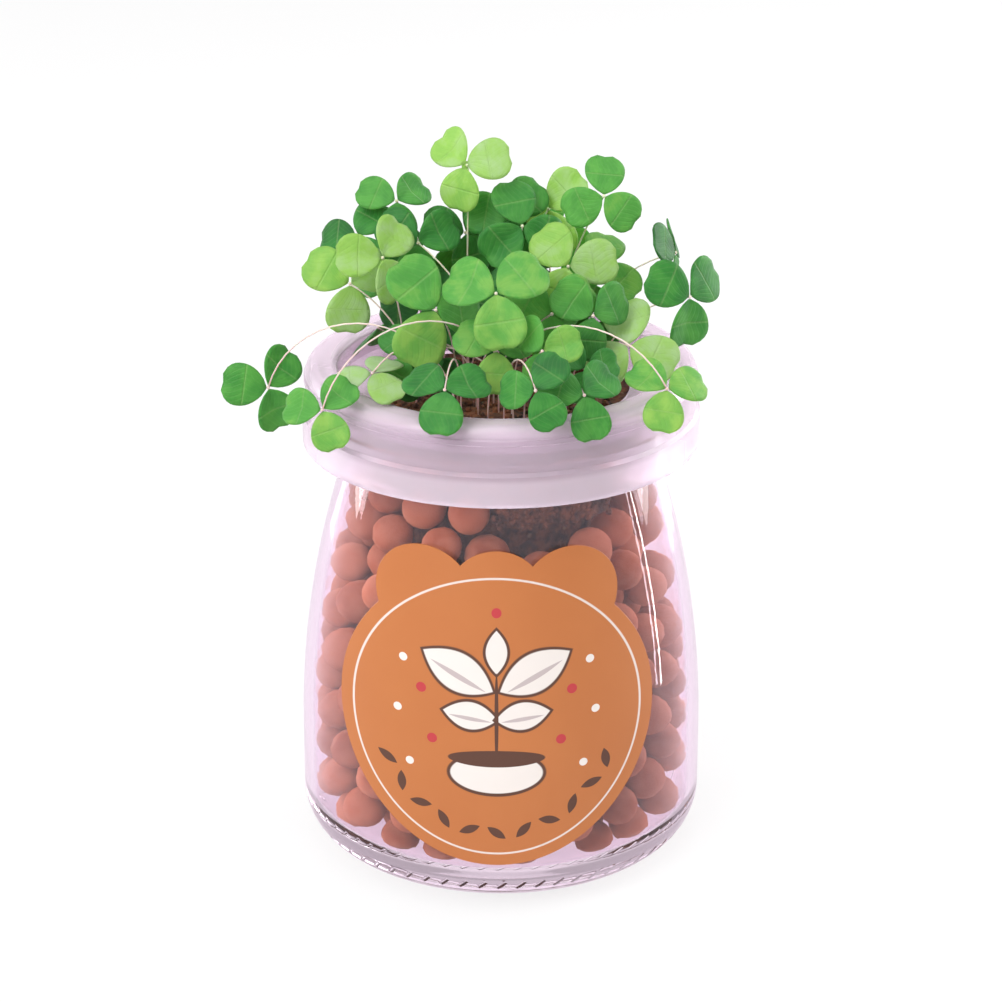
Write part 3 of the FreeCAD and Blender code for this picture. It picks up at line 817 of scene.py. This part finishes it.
@dataclass
class Studio:
    """Camera, lamps, world and floor round the planter.

    Each lamp's row gives its name, its degrees from the front to the right, its height,
    its distance from the planter's axis, its width and height, and its power in watts.
    """

    aim_height: float = 61.4 * MM
    distance: float = 0.600
    elevation: float = 22.2
    focal_pixels: float = 3467.7
    picture_pixels: int = 1002
    sensor_width: float = 36.0
    nearest: float = 10 * MM
    world_level: float = 0.56
    floor_size: float = 6.0
    floor_drop: float = 0.02 * MM
    lamps: tuple = (
        ("key_lamp", -38.0, 0.62, 0.62, (0.50, 0.50), 4.4),
        ("side_lamp", 128.0, 0.22, 0.62, (0.46, 0.60), 3.4),
        ("left_lamp", -118.0, 0.20, 0.75, (0.22, 0.45), 1.6),
        ("top_lamp", 0.0, 1.05, 0.08, (0.60, 0.60), 3.0),
        ("strip_lamp", 93.0, 0.08, 0.12, (0.003, 0.17), 0.03),
    )

    def camera(self) -> None:
        """Set the camera at the photograph's angle."""
        turn = math.radians(self.elevation)
        back, up = self.distance * math.cos(turn), self.distance * math.sin(turn)
        bpy.ops.object.camera_add(
            location=(0.0, -back, self.aim_height + up), rotation=(math.pi / 2 - turn, 0.0, 0.0)
        )
        camera = bpy.context.object
        camera.name = "photo_camera"
        camera.data.sensor_width = self.sensor_width
        camera.data.lens = self.focal_pixels * self.sensor_width / self.picture_pixels
        camera.data.clip_start = self.nearest
        bpy.context.scene.camera = camera

    def lamp(
        self, name: str, azimuth: float, height: float, away: float, size: Span, power: float
    ) -> None:
        """Add a soft lamp that faces the planter, by a row of the lamps' table."""
        turn = math.radians(azimuth)
        place = Vector((away * math.sin(turn), -away * math.cos(turn), height))
        aim = (Vector((0.0, 0.0, self.aim_height)) - place).to_track_quat("-Z", "Y")
        bpy.ops.object.light_add(type="AREA", location=place, rotation=aim.to_euler())
        lamp = bpy.context.object
        lamp.name = name
        lamp.data.shape = "RECTANGLE"
        lamp.data.size, lamp.data.size_y = size
        lamp.data.energy = power

    def world(self) -> None:
        """Light the scene evenly and show white behind it."""
        world = bpy.data.worlds.new("studio")
        bpy.context.scene.world = world
        world.use_nodes = True
        world.node_tree.nodes.clear()
        tree = Tree(world.node_tree)
        level = tree.reach(white_seen(tree), 0.0, 1.0, self.world_level, 1.0)
        sky = tree.add("Background", inputs={"Color": white_tone(tree), "Strength": level})
        tree.add("OutputWorld", inputs={"Surface": sky.outputs[0]})

    def floor(self) -> None:
        """Lay the pale floor."""
        place = (0.0, 0.0, -self.floor_drop)
        bpy.ops.mesh.primitive_plane_add(size=self.floor_size, location=place)
        floor = added("floor")
        floor.data.materials.append(PaleFloor().material("pale_floor"))

    def build(self) -> None:
        """Set up the whole studio."""
        self.camera()
        for row in self.lamps:
            self.lamp(*row)
        self.world()
        self.floor()
        bpy.context.scene.view_settings.view_transform = "Standard"


def place_piece(piece: Item, body: str, slot: str, *nodes: str) -> None:
    """Tie a finished piece to its body and hide the nodes it stands for.

    Args:
        piece: The piece.
        body: The body that it moves with.
        slot: Not used.
        nodes: The CAD nodes that it replaces.
    """
    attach(piece, body)
    if nodes:
        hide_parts(*nodes)
    log.info("%s: %d faces, on %s", piece.name, len(piece.data.polygons), body)


@dataclass
class ClayBalls:
    """The clay balls: one shape, copied to each ball of the frame."""

    layers: int = 8
    cuts: int = 3
    dent_share: float = 0.045
    tone_gather: float = 2.2
    seed: int = 11
    finish: FiredClay = FiredClay()

    def pattern(self) -> Item:
        """Model one ball of unit radius: a cube, divided and drawn out to a round form.

        Returns:
            The ball.
        """
        bpy.ops.mesh.primitive_cube_add(size=2.0)
        ball = added("ball_pattern")
        edit()
        bpy.ops.mesh.subdivide(number_cuts=self.cuts)
        bpy.ops.transform.tosphere(value=1.0)
        leave_edit()
        radius = max(vert.co.length for vert in ball.data.vertices)
        ball.data.transform(Matrix.Scale(1 / radius, 4))
        ball.data.shade_smooth()
        return ball

    def ball(self, pattern: Item, middle: Vector, radius: float, draw: random.Random) -> Item:
        """Copy the ball into its place, turned and a little out of round.

        Args:
            pattern: The ball to copy.
            middle: Its centre.
            radius: Its radius.
            draw: The source of chance.

        Returns:
            The ball.
        """
        angle = draw.uniform(0, math.tau)
        turn = Matrix.Rotation(angle, 4, Vector((draw.random(), draw.random(), 1)).normalized())
        sizes = [radius * (1 - self.dent_share * draw.random()) for _ in range(3)]
        shape = Matrix.Diagonal((*sizes, 1.0))
        copy = copy_of(pattern, Matrix.Translation(middle) @ shape @ turn)
        tone = copy.data.attributes.new("tone", "FLOAT", "POINT")
        value = draw.betavariate(self.tone_gather, self.tone_gather)
        tone.data.foreach_set("value", [value] * len(copy.data.vertices))
        return copy

    def build(self) -> None:
        """Make each layer of balls."""
        material = self.finish.material("fired_clay")
        draw = random.Random(self.seed)
        pattern = self.pattern()
        for layer in range(1, self.layers + 1):
            node = f"clay_balls_layer_{layer:02d}"
            balls = []
            for points in solids_of(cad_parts[node]):
                low, high = points.min(0), points.max(0)
                radius = float((high - low).max()) / 2
                balls.append(self.ball(pattern, Vector((low + high) / 2), radius, draw))
            piece = joined(balls, f"clay_balls_{layer:02d}")
            piece.data.materials.append(material)
            place_piece(piece, "jar", "clay", node)
        remove([pattern])


@dataclass
class SoilPlug:
    """The plug of soil: the frame's form with a rough skin, and loose crumbs."""

    voxel: float = 0.75 * MM
    roughness: tuple = (("lumps", 3.2 * MM, 0.90 * MM), ("grit", 1.1 * MM, 0.45 * MM))
    push_level: float = 0.85
    crumb_count: int = 620
    crumb_radius: float = 0.70 * MM
    crumb_sizes: Span = (0.5, 1.15)
    crumb_side: float = 0.4
    crumb_squeeze: tuple = (0.72, 0.9, 1.0)
    crumb_shift: tuple = (0.12, -0.10, 0.22)
    head_every: int = 3
    lobe_turns: Span = (-3.0, 50.0)
    lobe_drops: Span = (6.5 * MM, 15.6 * MM)
    top_margin: float = 4.0 * MM
    side_sink: float = 0.45 * MM
    top_sink: float = 0.30 * MM
    seed: int = 5
    finish: DarkSoil = DarkSoil()

    def core(self) -> Item:
        """Model the rough core from the frame's plug.

        Returns:
            The core.
        """
        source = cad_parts["soil_plug"]
        core = bpy.data.objects.new("soil_core", source.data.copy())
        bpy.context.scene.collection.objects.link(core)
        core.data.materials.clear()
        select([core])
        edit()
        bpy.ops.mesh.remove_doubles(threshold=MM * MM)
        leave_edit()
        remesh = core.modifiers.new("even", "REMESH")
        remesh.mode = "VOXEL"
        remesh.voxel_size = self.voxel
        for name, size, depth in self.roughness:
            texture = bpy.data.textures.new(name, "CLOUDS")
            texture.noise_scale = size
            texture.noise_depth = 2
            push = core.modifiers.new(name, "DISPLACE")
            push.texture = texture
            push.texture_coords = "LOCAL"
            push.mid_level = self.push_level
            push.strength = depth
        apply_modifiers(core)
        core.data.shade_smooth()
        return core

    def crumb_pattern(self) -> Item:
        """Model one crumb of unit radius: a round lump with flattened sides.

        Returns:
            The crumb.
        """
        bpy.ops.mesh.primitive_ico_sphere_add(subdivisions=1, radius=1.0)
        crumb = added("crumb_pattern")
        edit()
        choose(crumb, lambda place: place.x > self.crumb_side)
        bpy.ops.transform.resize(value=self.crumb_squeeze)
        choose(crumb, lambda place: place.z < -self.crumb_side)
        bpy.ops.transform.translate(value=self.crumb_shift)
        leave_edit()
        return crumb

    def crumb_places(self, draw: random.Random) -> list[Vector]:
        """Choose where crumbs lie: on the top and round the head, behind the glass.

        Args:
            draw: The source of chance.

        Returns:
            The crumbs' centres.
        """
        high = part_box("soil_plug")[1]
        places = []
        for index in range(self.crumb_count):
            turn = draw.uniform(0, math.tau)
            if index % self.head_every:
                out = (high.x - self.top_margin) * math.sqrt(draw.random())
                height = high.z - self.top_sink
            else:
                turn = math.radians(draw.uniform(*self.lobe_turns)) - math.pi / 2
                out = high.x - self.side_sink
                height = high.z - draw.uniform(*self.lobe_drops)
            places.append(Vector((out * math.cos(turn), out * math.sin(turn), height)))
        return places

    def build(self) -> None:
        """Make the soil."""
        draw = random.Random(self.seed)
        material = self.finish.material("dark_soil")
        core = self.core()
        core.data.materials.append(material)
        crumb = self.crumb_pattern()
        crumb.data.materials.append(material)
        items = [core]
        for place in self.crumb_places(draw):
            size = self.crumb_radius * draw.uniform(*self.crumb_sizes)
            axis = Vector([draw.random() - 0.5 for _ in range(3)]).normalized()
            turn = Matrix.Rotation(draw.uniform(0, math.tau), 4, axis)
            items.append(copy_of(crumb, Matrix.Translation(place) @ turn @ Matrix.Scale(size, 4)))
        remove([crumb])
        place_piece(joined(items, "soil"), "planting", "soil", "soil_plug")


class LeafForm(Enum):
    """The forms that a leaflet has grown into: cup, fold and wave as shares of its length."""

    FLAT = (0.07, 0.03, 0.014)
    FOLDED = (0.05, 0.13, 0.016)
    CUPPED = (0.15, 0.05, 0.026)


class LeafTone(Enum):
    """How light a seedling's leaves are, from 0 for deep green to 1 for pale grey green; the
    darkest tone is painted shade for seedlings in shadow inside the clump.
    """

    # Painted shade: this tone darkens seedlings that sit in shadow inside the clump.
    DEEP = 0.06
    DARK = 0.22
    MID = 0.40
    BRIGHT = 0.55
    LIME = 0.76
    PALE = 0.93


# The darkest tone below is painted shade, for seedlings in shadow inside the clump.
TONED_SEEDLINGS: dict[LeafTone, str] = {
    LeafTone.DEEP: "heart_shade inner_middle inner_left_dark right_dark",
    LeafTone.MID: (
        "crown_right upper_left_tip upper_middle upper_middle_right inner_right "
        "left_low right_grey over_rim_far_left"
    ),
    LeafTone.BRIGHT: (
        "right_inner right_step big_left big_front front_left_low front_middle "
        "over_rim_right over_rim_left"
    ),
    LeafTone.LIME: "crown_left crown_middle left_fan left_upright right_lime",
    LeafTone.PALE: "right_pale rim_left_pale",
}
SEEDLING_TONES = {name: tone for tone, names in TONED_SEEDLINGS.items() for name in names.split()}


@dataclass
class Seedlings:
    """The clover seedlings on the frame's own: a stem, its knuckle and three leaflets each."""

    rows: int = 12
    columns: int = 10
    width_share: float = 0.97
    widest_share: float = 0.62
    foot_share: float = 0.06
    swell_power: float = 0.74
    end_share: float = 1.03
    crown_power: float = 2.2
    notch_depth: float = 0.03
    notch_reach: float = 0.4
    row_reach: float = 0.3
    cup_reach: float = 1.6
    cup_sides: float = 0.5
    wave_turns: Span = (7.0, 5.0)
    thickness_share: float = 0.03
    stem_radius: float = 0.14 * MM
    stem_sides: int = 7
    stem_step: float = 2.2 * MM
    least_steps: int = 6
    knuckle_radius: float = 0.30 * MM
    knuckle_cuts: tuple[int, int] = (8, 6)
    leaf_start: float = 0.9 * MM
    foot_stretch: float = 0.65 * MM
    stem_rise: float = 1.5 * MM
    least_bend: float = 0.36 * MM
    root_band: float = 0.1 * MM
    crown_band: float = 0.2 * MM
    foot_band: float = 0.3 * MM
    length_stride: int = 3
    gap_stride: int = 5
    tone_spread: float = 0.12
    seed: int = 3
    leaf_finish: LeafGreen = LeafGreen()
    stem_finish: StemGreen = StemGreen()

    def half_width(self, share: float) -> float:
        """Half the leaflet's width at a share of its length, for unit length."""
        full = self.width_share / 2
        if share < self.widest_share:
            swell = math.sin(math.pi / 2 * (share / self.widest_share) ** self.swell_power)
            return full * (self.foot_share + (1 - self.foot_share) * swell)
        beyond = (share - self.widest_share) / (self.end_share - self.widest_share)
        return full * math.sqrt(1 - beyond ** self.crown_power)

    def leaflet(self, form: LeafForm) -> Item:
        """Model a leaflet of unit length along +X from the origin, facing +Z.

        Args:
            form: The form that it has grown into.

        Returns:
            The leaflet, with its map.
        """
        cup, fold, wave = form.value
        bpy.ops.mesh.primitive_grid_add(
            x_subdivisions=self.rows, y_subdivisions=self.columns, size=1.0,
            location=(0.5, 0.0, 0.0),
        )
        leaf = added("leaflet_" + form.name.lower())
        leaf.data.uv_layers[0].name = "LeafMap"
        edit()
        for row in range(self.rows + 1):
            share = row / self.rows
            choose(leaf, lambda place: abs(place.x - share) < self.row_reach / self.rows)
            bpy.ops.transform.resize(
                value=(1.0, 2 * self.half_width(share), 1.0), center_override=(share, 0.0, 0.0)
            )
        leave_edit()
        for vert in leaf.data.vertices:
            x, y = vert.co.x, vert.co.y
            aside = abs(y) / (self.width_share / 2)
            near = max(0.0, 1 - aside / self.notch_reach)
            near *= max(0.0, (x - self.widest_share) / (1 - self.widest_share))
            lift = cup * x * (1 - x) * self.cup_reach - cup * aside * aside * self.cup_sides
            phase = x * self.wave_turns[0] + y * self.wave_turns[1]
            lift += (fold + wave * math.sin(phase)) * aside
            vert.co = Vector((x - self.notch_depth * near, y, lift))
        solidify = leaf.modifiers.new("thickness", "SOLIDIFY")
        solidify.thickness = self.thickness_share
        solidify.offset = 0.0
        apply_modifiers(leaf)
        leaf.data.shade_smooth()
        return leaf

    def frame_of(self, points: np.ndarray, head: Vector) -> Matrix:
        """Where a leaflet of the frame lies.

        Args:
            points: The leaflet's vertices.
            head: A point near the seedling's head.

        Returns:
            Its place: origin at its foot, X along it, Z out of its face, scaled to its length.
        """
        away = np.linalg.norm(points - np.array(head), axis=1)
        foot = Vector(points[away < away.min() + self.foot_band].mean(0))
        centred = points - points.mean(0)
        _, axes = np.linalg.eigh(centred.T @ centred)
        normal = Vector(axes[:, 0])
        spread = (centred * centred).sum(1)
        if (centred @ axes[:, 0]) @ (spread - spread.mean()) > 0:
            normal.negate()
        along = Vector(points.mean(0)) - foot
        along = (along - normal * along.dot(normal)).normalized()
        foot -= along * self.foot_stretch
        side = normal.cross(along)
        length = max((Vector(point) - foot).dot(along) for point in points[::self.length_stride])
        turn = Matrix((along, side, normal)).transposed().to_4x4()
        return Matrix.Translation(foot) @ turn @ Matrix.Scale(length, 4)

    def stem(self, base: Vector, head: Vector) -> Item:
        """Model a stem: a ring drawn up out of the soil, then spun along one arc to its head.

        Args:
            base: Where the stem's root ends.
            head: The seedling's head.

        Returns:
            The stem with its knuckle.
        """
        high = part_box("soil_plug")[1]
        top = Vector((base.x, base.y, high.z + self.stem_rise))
        flat = Vector((head.x - top.x, head.y - top.y, 0.0))
        rise = head.z - top.z
        reach = max(flat.length, self.least_bend)
        outward = flat.normalized() if flat.length > self.least_bend else Vector((1.0, 0.0, 0.0))
        radius = (reach * reach + rise * rise) / (2 * reach)
        sweep = math.atan2(rise, radius - reach)
        root = high.z - self.stem_rise
        bpy.ops.mesh.primitive_circle_add(
            vertices=self.stem_sides, radius=self.stem_radius, location=(top.x, top.y, root)
        )
        stem = added("stem")
        edit()
        upward = {"value": (0.0, 0.0, top.z - root)}
        bpy.ops.mesh.extrude_region_move(TRANSFORM_OT_translate=upward)
        bpy.ops.mesh.spin(
            steps=max(self.least_steps, int(radius * sweep / self.stem_step)), angle=sweep,
            center=top + outward * radius, axis=outward.cross(Vector((0.0, 0.0, 1.0))),
        )
        bpy.ops.mesh.select_all(action="SELECT")
        bpy.ops.mesh.fill_holes(sides=0)
        bpy.ops.mesh.normals_make_consistent(inside=False)
        leave_edit()
        stem.data.shade_smooth()
        segments, rings = self.knuckle_cuts
        bpy.ops.mesh.primitive_uv_sphere_add(
            segments=segments, ring_count=rings, radius=self.knuckle_radius, location=head
        )
        knuckle = added("knuckle")
        knuckle.data.shade_smooth()
        stem = joined([stem, knuckle], "stem")
        while stem.data.uv_layers:
            stem.data.uv_layers.remove(stem.data.uv_layers[0])
        return stem

    def seedling(self, name: str, patterns: list, materials: list, draw: random.Random) -> Item:
        """Model one seedling on the frame's seedling.

        Args:
            name: The seedling's name.
            patterns: The leaflets to copy.
            materials: The stem's and the leaves' materials.
            draw: The source of chance.

        Returns:
            The seedling.
        """
        solids = solids_of(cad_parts["sprout_" + name])
        stem_points, *leaves = sorted(solids, key=lambda points: points[:, 2].min())
        root = stem_points[:, 2].min() + self.root_band
        base = Vector(stem_points[stem_points[:, 2] < root].mean(0))
        near = self.crown_of(stem_points, leaves)
        places = [self.frame_of(points, near) for points in leaves]
        stalk = self.leaf_start - self.foot_stretch
        feet = [place.translation - place.col[0].xyz.normalized() * stalk for place in places]
        head = sum(feet, Vector()) / len(feet)
        stem = self.stem(base, head)
        tone = SEEDLING_TONES.get(name, LeafTone.DARK).value
        self.dress(stem, materials, 0, tone)
        parts = [stem]
        for place in places:
            leaf = copy_of(draw.choice(patterns), place)
            own = tone + draw.uniform(-self.tone_spread, self.tone_spread)
            self.dress(leaf, materials, 1, own)
            parts.append(leaf)
        return joined(parts, "clover_" + name)

    def crown_of(self, stem_points: np.ndarray, leaves: list[np.ndarray]) -> Vector:
        """The point of the stem that is nearest to all three leaflets.

        Args:
            stem_points: The stem's vertices.
            leaves: The vertices of each leaflet.

        Returns:
            That point.
        """
        high = stem_points[stem_points[:, 2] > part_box("soil_plug")[1].z]
        worst = np.zeros(len(high))
        for points in leaves:
            near = points[None, ::self.gap_stride]
            worst = np.maximum(worst, np.linalg.norm(high[:, None] - near, axis=2).min(1))
        return Vector(high[worst < worst.min() + self.crown_band].mean(0))

    def dress(self, item: Item, materials: list, index: int, tone: float) -> None:
        """Give a stem or a leaf its material and its tone.

        Args:
            item: The stem or the leaf.
            materials: The stem's and the leaves' materials.
            index: Which of the two it shows.
            tone: How light it is.
        """
        for material in materials:
            item.data.materials.append(material)
        item.data.polygons.foreach_set("material_index", [index] * len(item.data.polygons))
        layer = item.data.attributes.new("tone", "FLOAT", "POINT")
        layer.data.foreach_set("value", [tone] * len(item.data.vertices))

    def build(self) -> None:
        """Make every seedling of the frame."""
        draw = random.Random(self.seed)
        stem_green = self.stem_finish.material("stem_green")
        materials = [stem_green, self.leaf_finish.material("leaf_green")]
        patterns = [self.leaflet(form) for form in LeafForm]
        for node in sorted(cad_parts):
            if node.startswith("sprout_"):
                piece = self.seedling(node.removeprefix("sprout_"), patterns, materials, draw)
                place_piece(piece, "planting", "leaf", node)
        remove(patterns)


@dataclass
class Vessel:
    """The jar with its label and collar, which keep the frame's own shapes."""

    glass: ClearGlass = ClearGlass()
    plastic: FrostedPlastic = FrostedPlastic()
    paper: PrintedPaper = PrintedPaper()

    def dress(self, node: str, material: bpy.types.Material) -> None:
        """Give a node of the frame its material.

        Args:
            node: The node's name.
            material: The material.
        """
        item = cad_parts[node]
        for slot in item.material_slots:
            slot.material = material
        log.info("%s: %s", node, material.name)

    def build(self) -> None:
        """Dress the jar, the collar and the label."""
        self.dress("glass_jar", self.glass.material("clear_glass"))
        self.dress("rim_collar", self.plastic.material("frosted_plastic"))
        self.dress("front_label", self.paper.material("printed_paper"))


def main() -> None:
    """Build the studio and every sub-assembly."""
    logging.basicConfig(level=logging.INFO, format="%(name)s: %(message)s")
    Studio().build()
    Vessel().build()
    ClayBalls().build()
    SoilPlug().build()
    Seedlings().build()


if __name__ == "__main__":
    main()
